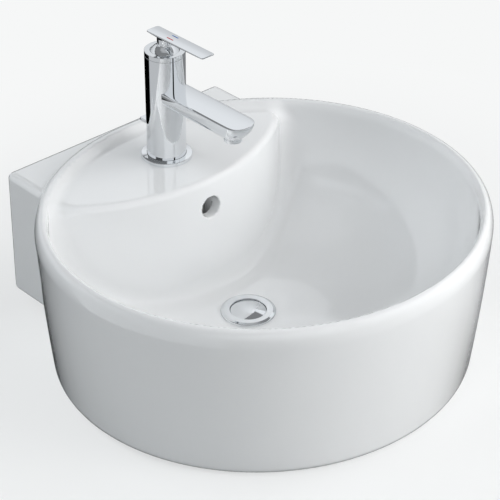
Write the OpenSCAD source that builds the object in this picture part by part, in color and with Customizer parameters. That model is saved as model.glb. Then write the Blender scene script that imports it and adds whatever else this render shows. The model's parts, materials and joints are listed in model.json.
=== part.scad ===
// Countertop basin with a raised tap deck, a single-lever mixer tap and a pop-up waste.
// Millimetres. Origin on the counter plane at the drum's axis, +X right, +Y to the wall, +Z up.

/* [Drum] */
// Width of the drum over the rim
drum_width = 500; // [460:1:560]
// Front-to-back size of the drum over the rim
drum_depth = 478; // [450:1:540]
// Height of the rim above the counter
drum_height = 185; // [175:1:205]
// Width of the drum over the foot
foot_width = 474; // [440:1:490]
// Rounding at the foot's outer edge
foot_edge = 9; // [4:0.5:14]
// Width of the flat ring that stands on the counter
foot_land = 16; // [10:1:24]
// Outer rounding of the rim, measured across
rim_out = 10; // [6:0.5:14]
// Outer rounding of the rim, measured down
rim_out_drop = 20; // [12:0.5:28]
// Inner rounding of the rim, measured across
rim_in = 5; // [3:0.5:8]
// Inner rounding of the rim, measured down
rim_in_drop = 12; // [9.5:0.5:16]

/* [Bowl and deck] */
// Depth of the bowl below the rim
bowl_depth = 153; // [140:1:160]
// How square the bowl's section is (2 is an ellipse)
bowl_square = 2.6; // [2:0.1:4]
// How far the tap deck lies below the rim
deck_drop = 9; // [6:0.5:9]
// Distance from the drum's axis to the front of the deck
deck_front = 87; // [80:1:95]
// Radius of the deck's curved front edge
deck_radius = 250; // [220:1:300]
// Rounding at the deck's front edge
deck_edge = 6; // [3:0.5:10]
// Rounding between the deck's front wall and the bowl floor
deck_sweep = 26; // [15:1:28]
// Thickness of the ceramic
shell = 12; // [10:0.5:14]

/* [Wall box] */
// Width of the box at the back
box_width = 312; // [280:1:330]
// Distance from the drum's axis to the wall
wall_plane = 249; // [244:1:260]
// How far the box's top lies below the rim
box_drop = 10; // [9.5:0.5:14]
// Height of the box's underside above the counter
box_bottom = 24; // [10:1:40]
// Rounding along the box's side-top edges
box_edge = 7; // [3:0.5:12]

/* [Holes in the ceramic] */
// Diameter of the tap hole
tap_hole = 35; // [34.5:0.1:36]
// Distance from the drum's axis to the tap's axis
tap_y = 160; // [156:1:168]
// Diameter of the overflow hole
overflow_hole = 25; // [18:0.5:27]
// How far the overflow's centre lies below the rim
overflow_drop = 44; // [35:1:50]
// Distance from the drum's axis to the waste's axis
waste_y = 25; // [20:1:27]
// Diameter of the waste hole
waste_hole = 45; // [44.5:0.1:47]

/* [Tap body] */
// Diameter of the column at its foot
column_foot = 44; // [43.6:0.1:45]
// Diameter of the column at its top
column_top = 45.2; // [45:0.1:47]
// Height of the column above the deck, to the cap ring's seam
column_height = 126.3; // [126:0.1:130]
// Diameter of the base flange
base_flange_width = 57.6; // [54:0.1:66]
// Height of the base flange
base_flange_height = 4.7; // [3.6:0.1:4.9]
// Thickness of the gasket under the column
base_gasket_t = 1.5; // [1:0.1:2.5]
// Height of the cap ring above its seam
cap_ring_height = 4.2; // [3:0.1:5]
// Thread diameter of the two hose inlets
inlet_thread = 9; // [8.5:0.1:10]
// Length of the hose inlet threads
inlet_depth = 12; // [10:0.5:16]
// Distance of each inlet from the tap's axis
inlet_offset = 8.2; // [7.8:0.1:9]
// Height of the inlet threads' lower end above the deck
inlet_rise = 7; // [6:0.5:12]
// Length of the mounting stud
stud_length = 69; // [60:1:80]

/* [Spout] */
// Height of the spout's top above the deck
spout_top = 89; // [84:0.5:90]
// Depth of the spout from top to bottom
spout_depth = 17.5; // [17:0.5:19]
// Width of the spout at its tip
spout_width = 36; // [34:0.5:40]
// Reach of the spout's tip from the tap's axis
spout_reach = 132.5; // [125:0.5:150]
// Reach of the outlet's axis from the tap's axis
outlet_reach = 109.4; // [104:0.1:112]
// Corner rounding at the spout's tip
spout_corner = 12.5; // [6:0.5:14]
// Diameter of the aerator
aerator_width = 20; // [19.5:0.1:22]
// Visible height of the aerator
aerator_height = 7; // [4:0.5:9]

/* [Lever] */
// Height of the lever's top above the deck
lever_top = 150; // [149:0.5:156]
// Width of the lever
lever_width = 18; // [16:0.5:22]
// Length of the lever in front of the tap's axis
lever_front = 72; // [60:1:90]
// Length of the lever behind the tap's axis
lever_back = 23; // [16:0.5:24]
// Thickness of the lever at the stem
lever_thick = 7; // [6:0.1:7]
// Thickness of the lever at its front end
lever_thin = 3.6; // [3:0.1:5]
// Diameter of the lever's dome
dome_width = 39.2; // [38.8:0.1:39.4]
// Largest lift of the lever, degrees
lever_lift = 25; // [20:1:25]
// Length of the hot and cold marks
mark_length = 10.5; // [8:0.5:14]
// Width of the hot and cold marks
mark_width = 1.6; // [1:0.1:2.4]
// Distance of each mark from the lever's middle
mark_offset = 3.8; // [2.5:0.1:5]

/* [Cartridge] */
// Diameter of the cartridge
cartridge_width = 35; // [34:0.1:35]
// Diameter of the cartridge's neck bore
neck_width = 22.2; // [21.8:0.1:22.6]
// Diameter of the moving disc
disc_width = 21.6; // [20.8:0.1:21.6]
// Width of the square spindle
spindle_width = 8; // [7:0.1:8]
// Length of the spindle's lower arm
spindle_arm = 17; // [16.5:0.1:17]

/* [Pop-up linkage] */
// Diameter of the lift rod
lift_rod_d = 5; // [4:0.1:5.2]
// Distance from the tap's axis to the lift rod
lift_rod_offset = 13; // [12.6:0.1:13]
// Travel of the lift rod from closed to open
lift_travel = 23; // [15:0.5:23]
// Height of the knob's top above the deck, plug closed
knob_top = 33.5; // [33.5:0.5:38]
// Width of the knob
knob_width = 9; // [7:0.5:10]
// Thickness of the knob
knob_thick = 4; // [3:0.1:4]
// Distance from the tap's axis to the knob's end
knob_reach = 41; // [36:0.5:50]
// Diameter of the ball rod
ball_rod_d = 6; // [5:0.1:6]
// Diameter of the pivot ball
ball_d = 13; // [12:0.1:13]
// Distance from the waste's axis to the pivot ball
port_reach = 35; // [34:0.5:40]
// Depth of the pivot ball below the counter
pivot_drop = 55; // [50:1:65]
// Length of the pierced strap
strap_length = 70; // [68:1:80]
// Pitch of the strap's holes
strap_pitch = 10; // [9:0.5:10]

/* [Waste] */
// Diameter of the waste's flange
flange_width = 62.5; // [60:0.5:68]
// Thickness of the waste's flange
flange_t = 3.5; // [3:0.1:5]
// Diameter of the plug
plug_width = 40.2; // [39:0.1:40.4]
// Thread diameter of the waste's body
waste_thread = 41.9; // [41.5:0.1:42.4]
// Bore of the waste's body
waste_bore = 35; // [34.6:0.1:36]
// Diameter of the tailpiece
tail_width = 32; // [30:0.1:33]
// Wall of the tailpiece
tail_wall = 1.2; // [1:0.1:2]
// Depth of the tailpiece's end below the counter
tail_drop = 170; // [140:1:220]
// Height of the waste's nut
nut_height = 10; // [8:0.5:12]
// Width of the seals round the waste
seal_width = 4.4; // [3:0.1:4.4]

/* [Clearances] */
// Gap between curved faces that move past each other
move_gap = 0.3; // [0.3:0.05:0.35]
// Radial gap of a running fit
run_gap = 0.08; // [0.05:0.01:0.1]
// Radial gap of parts that are screwed or pushed together
fit_gap = 0.05; // [0.02:0.01:0.08]

/* [Hidden] */
$fn = 96;
oval = drum_depth / drum_width;
rim_r = drum_width / 2;
crest_r = rim_r - rim_out;
mouth_r = crest_r - rim_in;
foot_r = foot_width / 2;
floor_z = drum_height - bowl_depth;
deck_z = drum_height - deck_drop;
deck_y = deck_front + deck_radius;
under_z = deck_z - shell;
box_top = drum_height - box_drop;
spring_z = drum_height - rim_in_drop;
boss_z = floor_z - 28;
duct_z = floor_z - 23;
duct_h = 9;
// Tap, measured from the deck on the tap's axis
pivot_h = column_height - 6.3;
dome_r = dome_width / 2;
seat_h = pivot_h - 40;
shoulder_h = seat_h + 24;
cart_r = cartridge_width / 2;
cavity_r = cart_r - 2.7;
neck_r = neck_width / 2;
port_r = 3.5;
outlet_r = 4.5;
outlet_y = -8;
disc_shift = spindle_arm * sin(lever_lift / 2);
spigot_r = tap_hole / 2 - 0.7;
spigot_h = 6;
stud_r = 4;
stud_y = -11;
stud_top = 11;
cap_top = column_height + cap_ring_height;
spout_low = spout_top - spout_depth;
water_low = spout_low + 2.5;
water_high = seat_h - 1.5;
aerator_r = aerator_width / 2;
aerator_bore = aerator_r - 0.6;
spout_nose = aerator_r + 3.2;
knob_low = knob_top - knob_thick;
slot_low = knob_low - lift_travel - 1.4;
slot_r = knob_width / 2 + 0.35;
rod_y = tap_y + lift_rod_offset;
rod_r = lift_rod_d / 2;
// Linkage and waste, measured from the counter
strap_y = rod_y + rod_r + 0.9;
ball_y = waste_y + port_reach;
arm_out = strap_y - ball_y;
half_swing = atan(lift_travel / 2 / arm_out);
eye_z = -pivot_drop - port_reach * tan(half_swing);
strap_z = -pivot_drop + arm_out * tan(half_swing);
thread_r = waste_thread / 2;
bore_r = waste_bore / 2;
plug_r = plug_width / 2;
flange_top = floor_z + flange_t;
body_low = -pivot_drop - 27;
tail_r = tail_width / 2;
tail_top = -pivot_drop - 12;
tail_thread_r = tail_r - 0.4;
seal_r = waste_hole / 2 + seal_width;
gasket_h = 8;
washer_h = 2;
port_bore = ball_rod_d / 2 + 2.1;

function arc(cx, cz, rx, rz, a0, a1, n) =
    [for (i = [0:n]) let(a = a0 + (a1 - a0) * i / n) [cx + rx * cos(a), cz + rz * sin(a)]];

// A bowl section: vertical at the mouth, flat at the floor
function bowl(r, low, top, flat, n) =
    [for (i = [0:n]) let(
        a = 90 * i / n,
        x = pow(sin(a), 2 / bowl_square),
        z = 1 - pow(cos(a), 2 / bowl_square)
    ) [r * x, max(flat, low + (top - low) * z)]];

module at_tap() { translate([0, tap_y, deck_z]) children(); }
module at_waste() { translate([0, waste_y, 0]) children(); }
module tube(ro, ri, h) {
    difference() {
        cylinder(r = ro, h = h);
        translate([0, 0, -1]) cylinder(r = ri, h = h + 2);
    }
}
module along_y(y0, y1, r) {
    translate([0, y0, 0]) rotate([-90, 0, 0]) cylinder(r = r, h = y1 - y0);
}
module ovalled() { scale([1, oval, 1]) children(); }

module drum_outside() {
    pts = concat(
        [[0, -0.4]],
        arc(foot_r - foot_edge, foot_edge - 0.4, foot_edge, foot_edge, -90, 0, 4),
        [[(foot_r + rim_r) / 2 + 1.4, drum_height / 2 - 3]],
        arc(crest_r, drum_height - rim_out_drop, rim_out, rim_out_drop, 0, 90, 7),
        arc(crest_r, spring_z, rim_in, rim_in_drop, 100, 180, 5),
        [for (p = bowl_line()) p]
    );
    ovalled() rotate_extrude() polygon(pts);
}
function bowl_line() =
    let(b = bowl(mouth_r, floor_z - 2.5, spring_z, floor_z, 22))
    concat(
        [for (i = [21:-1:1]) if (b[i + 1][1] > floor_z + 0.05) [b[i][0], b[i][1] < floor_z + 0.05 ? floor_z : b[i][1]]],
        [[0, floor_z]]
    );

module deck_fill() {
    intersection() {
        translate([0, deck_y, 0]) rotate_extrude() polygon(concat(
            [[0, floor_z - shell / 2], [deck_radius + deck_sweep, floor_z - shell / 2]],
            arc(deck_radius + deck_sweep, floor_z + deck_sweep, deck_sweep, deck_sweep, -90, -180, 6),
            arc(deck_radius - deck_edge, deck_z - deck_edge, deck_edge, deck_edge, 0, 90, 4),
            [[0, deck_z]]
        ));
        ovalled() rotate_extrude() polygon([
            [0, 0], [foot_r - foot_edge - 4, 0], [foot_r - foot_edge - 2, 40], [mouth_r + 7, deck_z + 1], [0, deck_z + 1]
        ]);
    }
}

module wall_box() {
    w = box_width / 2;
    translate([0, wall_plane, 0]) rotate([90, 0, 0]) linear_extrude(wall_plane - tap_y + 6) union() {
        translate([-w, box_bottom]) square([2 * w, box_top - box_edge - box_bottom]);
        translate([box_edge - w, box_bottom]) square([2 * (w - box_edge), box_top - box_bottom]);
        translate([box_edge - w, box_top - box_edge]) circle(r = box_edge);
        translate([w - box_edge, box_top - box_edge]) circle(r = box_edge);
    }
}

module hollow() {
    land_r = foot_r - foot_edge - foot_land;
    w = box_width / 2 - shell;
    difference() {
        union() {
            ovalled() rotate_extrude() polygon([
                [0, -1], [land_r, -1], [land_r, 12], [foot_r - 14, 34],
                [rim_r - 14, under_z], [0, under_z]
            ]);
            translate([-w, deck_front + 30, box_bottom + shell])
                cube([2 * w, wall_plane - shell - deck_front - 30, under_z - box_bottom - shell]);
        }
        difference() {
            ovalled() rotate_extrude() polygon(concat(
                [[0, drum_height], [0, floor_z - shell]],
                [for (p = bowl(mouth_r + shell - 1, floor_z - shell - 2.5, spring_z, floor_z - shell, 16))
                    if (p[1] > floor_z - shell + 0.05) p],
                [[mouth_r + shell - 1, drum_height]]
            ));
            translate([0, deck_y, -1]) cylinder(r = deck_radius - shell + 1, h = drum_height + 2);
        }
    }
}

module overflow_block() {
    translate([-24, deck_front + 8, boss_z]) cube([48, 27, under_z + 2 - boss_z]);
    translate([-24, waste_y, boss_z]) cube([48, deck_front + 35 - waste_y, floor_z - shell / 2 - boss_z]);
    at_waste() translate([0, 0, boss_z]) cylinder(r = waste_hole / 2 + 15.5, h = floor_z - shell / 2 - boss_z);
}

module overflow_way() {
    translate([0, 0, drum_height - overflow_drop]) along_y(deck_front - 8, deck_front + 18, overflow_hole / 2);
    translate([-14, deck_front + 12, duct_z]) cube([28, 13, under_z - 6 - duct_z]);
    translate([-12, waste_y, duct_z]) cube([24, deck_front + 25 - waste_y, duct_h]);
}

module basin_body() {
    color([0.95, 0.95, 0.94]) difference() {
        union() {
            difference() {
                union() {
                    drum_outside();
                    deck_fill();
                    wall_box();
                }
                hollow();
            }
            overflow_block();
        }
        overflow_way();
        translate([-drum_width, -drum_width, -20]) cube([2 * drum_width, 2 * drum_width, 20]);
        translate([0, tap_y, under_z - 1]) cylinder(r = tap_hole / 2, h = shell + 2);
        at_waste() translate([0, 0, boss_z - 1]) cylinder(r = waste_hole / 2, h = 34);
    }
}

module base_gasket() {
    color([0.1, 0.1, 0.1]) at_tap() tube(column_foot / 2 - 0.4, tap_hole / 2 + 0.1, base_gasket_t);
}

module base_flange() {
    r = column_foot / 2 + fit_gap + 0.05;
    o = base_flange_width / 2;
    h = base_flange_height;
    color([0.8, 0.81, 0.83]) at_tap() rotate_extrude() polygon([
        [r, 0], [o, 0], [o, 1], [o - 0.6, 1.7], [r + (o - r) * 0.55, h * 0.58],
        [r + (o - r) * 0.22, h * 0.82], [r + 0.5, h], [r, h]
    ]);
}

module spout() {
    w = spout_width / 2;
    tip = -spout_reach;
    c = spout_corner;
    intersection() {
        translate([0, 0, spout_low]) linear_extrude(spout_depth) union() {
            polygon([[-w + 1, 0], [-w, tip + c], [w, tip + c], [w - 1, 0]]);
            translate([-w + c, tip]) square([2 * (w - c), c + 1]);
            translate([-w + c, tip + c]) circle(r = c);
            translate([w - c, tip + c]) circle(r = c);
        }
        union() {
            translate([0, -outlet_reach, spout_low])
                cylinder(r1 = spout_nose, r2 = spout_reach - outlet_reach + 0.6, h = spout_depth - 2);
            translate([0, -outlet_reach, spout_top - 2.01])
                cylinder(r = spout_reach - outlet_reach + 0.6, h = 3);
            translate([-w - 2, -outlet_reach, spout_low - 1]) cube([2 * w + 4, outlet_reach, spout_depth + 2]);
        }
        rotate([90, 0, 0]) linear_extrude(spout_reach + 1) polygon([
            [-w, spout_top], [-w, spout_top - 4], [-w + 0.6, spout_low + 7], [-w + 1.8, spout_low + 3.3],
            [-spout_nose, spout_low], [spout_nose, spout_low], [w - 1.8, spout_low + 3.3],
            [w - 0.6, spout_low + 7], [w, spout_top - 4], [w, spout_top]
        ]);
    }
}

module tap_body() {
    color([0.8, 0.81, 0.83]) at_tap() difference() {
        union() {
            translate([0, 0, base_gasket_t])
                cylinder(r1 = column_foot / 2, r2 = column_top / 2, h = column_height - base_gasket_t);
            translate([0, 0, -spigot_h]) cylinder(r = spigot_r, h = spigot_h + base_gasket_t + 1);
            spout();
        }
        translate([0, 0, seat_h]) cylinder(r = cart_r + 0.2, h = 40);
        translate([0, 0, shoulder_h]) cylinder(r = cart_r + 1.8, h = 40);
        translate([0, 0, shoulder_h + 10]) cylinder(r = dome_r + move_gap + 0.1, h = 40);
        translate([0, 0, column_height - 3.2]) cylinder(r = dome_r + 1.6, h = 4);
        for (s = [-1, 1]) translate([s * inlet_offset, 0, 0]) {
            translate([0, 0, -spigot_h - 1]) cylinder(r = inlet_thread / 2 + 0.7, h = spigot_h + 1 + inlet_rise);
            translate([0, 0, inlet_rise - 1]) cylinder(r = inlet_thread / 2, h = inlet_depth + 1);
            cylinder(r = port_r, h = seat_h + 1);
        }
        translate([0, outlet_y, water_low]) cylinder(r = outlet_r, h = seat_h - water_low + 1);
        translate([-7, -outlet_reach, water_low]) cube([14, outlet_reach + outlet_y, water_high - water_low]);
        translate([0, -outlet_reach, spout_low - 1]) cylinder(r = aerator_bore, h = 9);
        translate([0, -outlet_reach, spout_low]) cylinder(r = 6.4, h = spout_depth - 4);
        translate([0, stud_y, -spigot_h - 1]) cylinder(r = stud_r + fit_gap, h = spigot_h + stud_top + 2);
        translate([0, lift_rod_offset, -spigot_h - 1]) cylinder(r = rod_r + run_gap, h = spigot_h + slot_low + 2);
        translate([-slot_r, lift_rod_offset - rod_r - 1, slot_low])
            cube([2 * slot_r, 20, knob_top + 1.4 - slot_low]);
    }
}

module cap_ring() {
    color([0.8, 0.81, 0.83]) at_tap() difference() {
        union() {
            translate([0, 0, column_height]) cylinder(r = column_top / 2, h = cap_ring_height - 0.5);
            translate([0, 0, cap_top - 0.5]) cylinder(r1 = column_top / 2, r2 = column_top / 2 - 0.5, h = 0.5);
            translate([0, 0, column_height - 3.1]) cylinder(r = dome_r + 1.6 - fit_gap, h = 4);
        }
        translate([0, 0, pivot_h]) sphere(r = dome_r + move_gap + 0.05);
    }
}

module port_pattern(r_in, r_out) {
    for (s = [-1, 1]) translate([s * inlet_offset, 0, 0]) cylinder(r = r_in, h = 60);
    translate([0, outlet_y, 0]) cylinder(r = r_out, h = 60);
}

module cartridge_body() {
    color([0.85, 0.85, 0.83]) at_tap() difference() {
        union() {
            translate([0, 0, seat_h]) cylinder(r = cart_r, h = 24);
            translate([0, 0, shoulder_h - 1]) cylinder(r = neck_r + 2, h = 12);
        }
        translate([0, 0, seat_h + 5]) cylinder(r = cavity_r, h = 16);
        translate([0, 0, seat_h + 20]) cylinder(r = neck_r + run_gap, h = 20);
        translate([0, 0, seat_h - 40]) port_pattern(port_r, outlet_r - 1);
        translate([0, 0, seat_h - 58.4]) port_pattern(port_r + 1.4, outlet_r + 0.4);
    }
}

module cartridge_seals() {
    color([0.08, 0.08, 0.08]) at_tap() translate([0, 0, seat_h]) {
        for (s = [-1, 1]) translate([s * inlet_offset, 0, 0]) tube(port_r + 1.35, port_r, 1.6);
        translate([0, outlet_y, 0]) tube(outlet_r + 0.35, outlet_r - 1, 1.6);
    }
}

module cartridge_nut() {
    color([0.78, 0.66, 0.36]) at_tap() difference() {
        translate([0, 0, shoulder_h]) cylinder(r = cart_r + 1.8 - fit_gap, h = 9.5);
        translate([0, 0, shoulder_h - 1]) cylinder(r = neck_r + 2.1, h = 20);
        for (a = [0, 90]) rotate([0, 0, a]) translate([-2, -30, shoulder_h + 7]) cube([4, 60, 3]);
    }
}

module fixed_disc() {
    color([0.93, 0.92, 0.9]) at_tap() difference() {
        translate([0, 0, seat_h + 5]) cylinder(r = cavity_r - fit_gap, h = 4.5);
        translate([0, 0, seat_h - 40]) port_pattern(port_r - 0.4, outlet_r - 1.4);
    }
}

module moving_disc() {
    color([0.93, 0.92, 0.9]) at_tap() translate([0, disc_shift, seat_h + 9.53]) difference() {
        cylinder(r = disc_width / 2, h = 3.97);
        translate([0, -3.5, -1]) cylinder(r = 3.2, h = 3);
    }
}

module disc_driver() {
    color([0.2, 0.2, 0.22]) at_tap() translate([0, disc_shift, seat_h + 13.5]) difference() {
        union() {
            cylinder(r = disc_width / 2, h = 4.4);
            cylinder(r = 4.6, h = 14);
        }
        translate([0, 0, 5.5]) cylinder(r = 3.2 + move_gap, h = 20);
    }
}

module spindle_carrier() {
    s = spindle_width / 2 + move_gap;
    color([0.3, 0.32, 0.36]) at_tap() difference() {
        union() {
            translate([0, 0, seat_h + 18.4]) cylinder(r = cavity_r - move_gap, h = 2.4);
            translate([0, 0, seat_h + 18.4]) cylinder(r = neck_r, h = 25.6);
        }
        translate([-4.9, -8.9, seat_h + 18]) cube([9.8, 17.8, 10]);
        translate([-s, -8, seat_h + 18]) cube([2 * s, 16, 40]);
        translate([-10, 0, pivot_h]) rotate([0, 90, 0]) cylinder(r = 1.5, h = 20);
    }
}

module spindle_pin() {
    color([0.7, 0.7, 0.72]) at_tap() translate([-9.5, 0, pivot_h]) rotate([0, 90, 0]) cylinder(r = 1.5, h = 19);
}

module cartridge_spindle() {
    s = spindle_width / 2;
    color([0.72, 0.72, 0.74]) at_tap() difference() {
        union() {
            translate([-s, -s, pivot_h - 4]) cube([2 * s, 2 * s, lever_top - lever_thick - 1 - pivot_h + 4]);
            translate([0, 0, pivot_h]) rotate([lever_lift / 2, 0, 0]) {
                translate([0, 0, -spindle_arm]) cylinder(r = 2.2, h = spindle_arm);
                translate([0, 0, -spindle_arm]) sphere(r = 3.2);
            }
        }
        translate([-20, 0, pivot_h]) rotate([0, 90, 0]) cylinder(r = 1.5 + run_gap, h = 40);
    }
}

module lever_plate() {
    w = lever_width / 2;
    c = 3;
    f = -lever_front;
    stem_low = lever_top - lever_thick;
    intersection() {
        translate([0, 0, stem_low - 1]) linear_extrude(lever_thick + 1) union() {
            translate([-w, f + c]) square([2 * w, lever_front + lever_back - c]);
            translate([-w + c, f]) square([2 * (w - c), c + 1]);
            translate([-w + c, f + c]) circle(r = c);
            translate([w - c, f + c]) circle(r = c);
        }
        rotate([90, 0, 90]) linear_extrude(lever_width + 2, center = true) polygon([
            [lever_back, stem_low + 1.6], [lever_back, lever_top], [f, lever_top],
            [f, lever_top - lever_thin], [-14, stem_low], [14, stem_low]
        ]);
        rotate([90, 0, 0]) linear_extrude(300, center = true) polygon([
            [-w, lever_top], [-w, lever_top - 2.2], [-w + 4, stem_low], [w - 4, stem_low],
            [w, lever_top - 2.2], [w, lever_top]
        ]);
    }
}

module mark_block(x, t) {
    translate([x - mark_width / 2, -6 - mark_length, lever_top - 0.3]) cube([mark_width, mark_length, t]);
}

module lever_handle() {
    s = spindle_width / 2 + fit_gap;
    stem_low = lever_top - lever_thick;
    color([0.8, 0.81, 0.83]) at_tap() difference() {
        union() {
            difference() {
                translate([0, 0, pivot_h]) sphere(r = dome_r);
                translate([0, 0, pivot_h]) sphere(r = dome_r - 2.2);
                translate([-30, -30, pivot_h - 60]) cube([60, 60, 60 + dome_r * 0.21]);
            }
            translate([0, 0, pivot_h + 9]) cylinder(r = 8, h = stem_low - pivot_h - 8);
            lever_plate();
        }
        translate([-s, -s, pivot_h + 8]) cube([2 * s, 2 * s, stem_low - pivot_h - 8.8]);
        translate([0, 0, stem_low - 2.7]) along_y(0, 9, 2 + fit_gap);
        mark_block(-mark_offset, 1);
        mark_block(mark_offset, 1);
    }
}

module hot_mark() {
    color([0.75, 0.1, 0.1]) at_tap() mark_block(-mark_offset, 0.3);
}
module cold_mark() {
    color([0.1, 0.25, 0.7]) at_tap() mark_block(mark_offset, 0.3);
}

module handle_set_screw() {
    y0 = spindle_width / 2;
    color([0.55, 0.55, 0.57]) at_tap() translate([0, 0, lever_top - lever_thick - 2.7]) difference() {
        along_y(y0, y0 + 3, 2);
        translate([0, y0 + 1.4, 0]) rotate([-90, 0, 0]) cylinder(r = 1.1, h = 3, $fn = 6);
    }
}

module set_screw_cap() {
    y0 = spindle_width / 2 + 3.05;
    color([0.75, 0.75, 0.77]) at_tap() intersection() {
        translate([0, 0, lever_top - lever_thick - 2.7]) along_y(y0, 10, 2);
        translate([0, 0, pivot_h]) cylinder(r = 8, h = 40);
    }
}

module at_outlet() { at_tap() translate([0, -outlet_reach, spout_low]) children(); }

module aerator_housing() {
    color([0.8, 0.81, 0.83]) at_outlet() difference() {
        union() {
            translate([0, 0, 0.6 - aerator_height]) cylinder(r = aerator_r, h = aerator_height - 0.6);
            translate([0, 0, -aerator_height]) cylinder(r1 = aerator_r - 0.6, r2 = aerator_r, h = 0.6);
            cylinder(r = aerator_bore - fit_gap, h = 6);
        }
        translate([0, 0, -20]) cylinder(r = aerator_bore - 1.1, h = 40);
    }
}

module aerator_insert() {
    r = aerator_bore - 1.1 - fit_gap;
    color([0.85, 0.85, 0.85]) at_outlet() translate([0, 0, 1.5 - aerator_height]) difference() {
        cylinder(r = r, h = aerator_height + 4.5);
        for (a = [0:60:300]) rotate([0, 0, a]) {
            translate([r * 0.42, 0, -1]) cylinder(r = 1, h = 30);
            rotate([0, 0, 30]) translate([r * 0.76, 0, -1]) cylinder(r = 1, h = 30);
        }
        translate([0, 0, -1]) cylinder(r = 1, h = 30);
    }
}

module aerator_seal() {
    color([0.1, 0.1, 0.1]) at_outlet() translate([0, 0, 6]) tube(aerator_bore - fit_gap, 6.5, 2);
}

module mounting_stud() {
    color([0.78, 0.66, 0.36]) at_tap() translate([0, stud_y, stud_top - stud_length])
        cylinder(r = stud_r, h = stud_length);
}

module horseshoe(t) {
    difference() {
        cylinder(r = tap_hole / 2 + 8.5, h = t);
        translate([0, stud_y, -1]) cylinder(r = stud_r + 0.1, h = t + 2);
        translate([-15.5, stud_y + 4.6, -1]) cube([31, 60, t + 2]);
    }
}

module clamp_gasket() {
    color([0.12, 0.12, 0.12]) at_tap() translate([0, 0, -shell - 3]) horseshoe(3);
}
module clamp_plate() {
    color([0.66, 0.67, 0.7]) at_tap() translate([0, 0, -shell - 5.5]) horseshoe(2.5);
}

module stud_nut() {
    color([0.78, 0.66, 0.36]) at_tap() translate([0, stud_y, -shell - 12]) difference() {
        rotate([0, 0, 30]) cylinder(r = 7.5, h = 6.5, $fn = 6);
        translate([0, 0, -1]) cylinder(r = stud_r + fit_gap, h = 9);
    }
}

module lift_knob() {
    w = knob_width / 2;
    y0 = lift_rod_offset - rod_r - 0.6;
    color([0.8, 0.81, 0.83]) at_tap() difference() {
        translate([0, 0, knob_low]) linear_extrude(knob_thick) union() {
            translate([-w, y0]) square([knob_width, knob_reach - 2 - y0]);
            translate([-w + 2, y0]) square([knob_width - 4, knob_reach - y0]);
            translate([-w + 2, knob_reach - 2]) circle(r = 2);
            translate([w - 2, knob_reach - 2]) circle(r = 2);
        }
        translate([0, lift_rod_offset, knob_low - 1]) cylinder(r = rod_r + fit_gap, h = knob_thick);
    }
}

module lift_rod() {
    color([0.75, 0.76, 0.78]) translate([0, rod_y, strap_z + 2.1 * strap_pitch])
        cylinder(r = rod_r, h = deck_z + knob_top - 1 - strap_z - 2.1 * strap_pitch);
}

module clevis_strap() {
    color([0.66, 0.67, 0.7]) difference() {
        union() {
            translate([-6, strap_y - 0.8, strap_z + 38 - strap_length]) cube([12, 1.6, strap_length]);
            translate([-6, rod_y - rod_r - 2.5, strap_z + 24]) cube([12, strap_y - rod_y + rod_r + 2.6, 14]);
        }
        translate([0, rod_y, strap_z]) cylinder(r = rod_r + fit_gap, h = 60);
        for (i = [-2:1:1]) translate([0, 0, strap_z + strap_pitch * i]) along_y(strap_y - 5, strap_y + 5, ball_rod_d / 2 + 0.4);
        translate([0, 0, strap_z + 31]) along_y(rod_y - 20, rod_y, 2 + fit_gap);
    }
}

module clevis_screw() {
    color([0.78, 0.66, 0.36]) translate([0, 0, strap_z + 31]) union() {
        along_y(rod_y - rod_r - 9, rod_y - rod_r - 0.02, 2);
        along_y(rod_y - rod_r - 14, rod_y - rod_r - 8, 3.8);
    }
}

module on_ball() { translate([0, ball_y, -pivot_drop]) rotate([half_swing, 0, 0]) children(); }

module ball_rod() {
    r = ball_rod_d / 2;
    color([0.75, 0.76, 0.78]) on_ball() union() {
        along_y(-port_reach - 8, arm_out + 22, r);
        sphere(r = ball_d / 2);
    }
}

module spring_clip() {
    y = arm_out / cos(half_swing);
    color([0.7, 0.71, 0.74]) on_ball() difference() {
        union() {
            for (s = [-4.3, 3.7]) translate([-5, y + s, -5]) cube([13.6, 0.6, 10]);
            translate([8, y - 4.3, -5]) cube([0.6, 8.6, 10]);
        }
        along_y(y - 10, y + 10, ball_rod_d / 2 + fit_gap);
    }
}

module pivot_seal() {
    color([0.9, 0.9, 0.88]) translate([0, ball_y + 3.05, -pivot_drop]) rotate([-90, 0, 0])
        tube(8.9, ball_d / 2 - 0.45, 1.95);
}

module pivot_nut() {
    color([0.8, 0.81, 0.83]) translate([0, ball_y, -pivot_drop]) difference() {
        translate([0, -6, 0]) rotate([-90, 0, 0]) cylinder(r = 13.4, h = 14, $fn = 6);
        along_y(-7, 5.05, 9 + fit_gap);
        along_y(4, 12, 5);
    }
}

module waste_body() {
    color([0.8, 0.81, 0.83]) difference() {
        union() {
            at_waste() rotate_extrude() polygon([
                [0, body_low], [thread_r, body_low], [thread_r, floor_z],
                [flange_width / 2, floor_z], [flange_width / 2, floor_z + 1.4],
                [flange_width / 2 - 1.2, flange_top - 0.7], [flange_width / 2 - 3.4, flange_top], [0, flange_top]
            ]);
            translate([0, 0, -pivot_drop]) along_y(waste_y + bore_r - 1, ball_y + 3, 9);
        }
        at_waste() rotate_extrude() polygon([
            [0, flange_top + 1], [plug_r + 0.4, flange_top + 1], [plug_r + 0.4, floor_z - 3],
            [bore_r, floor_z - 7], [bore_r, tail_top + 1], [tail_thread_r + fit_gap, tail_top + 1],
            [tail_thread_r + fit_gap, body_low - 1], [0, body_low - 1]
        ]);
        translate([-8, waste_y - 30, duct_z]) cube([16, 60, duct_h]);
        at_waste() translate([0, 0, floor_z - 0.01]) tube(seal_r + 0.1, waste_hole / 2, 1.21);
        translate([0, 0, -pivot_drop]) along_y(waste_y, ball_y, port_bore);
        translate([0, 0, -pivot_drop]) along_y(ball_y - 7.5, ball_y + 10, ball_d / 2 + move_gap);
    }
}

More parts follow.
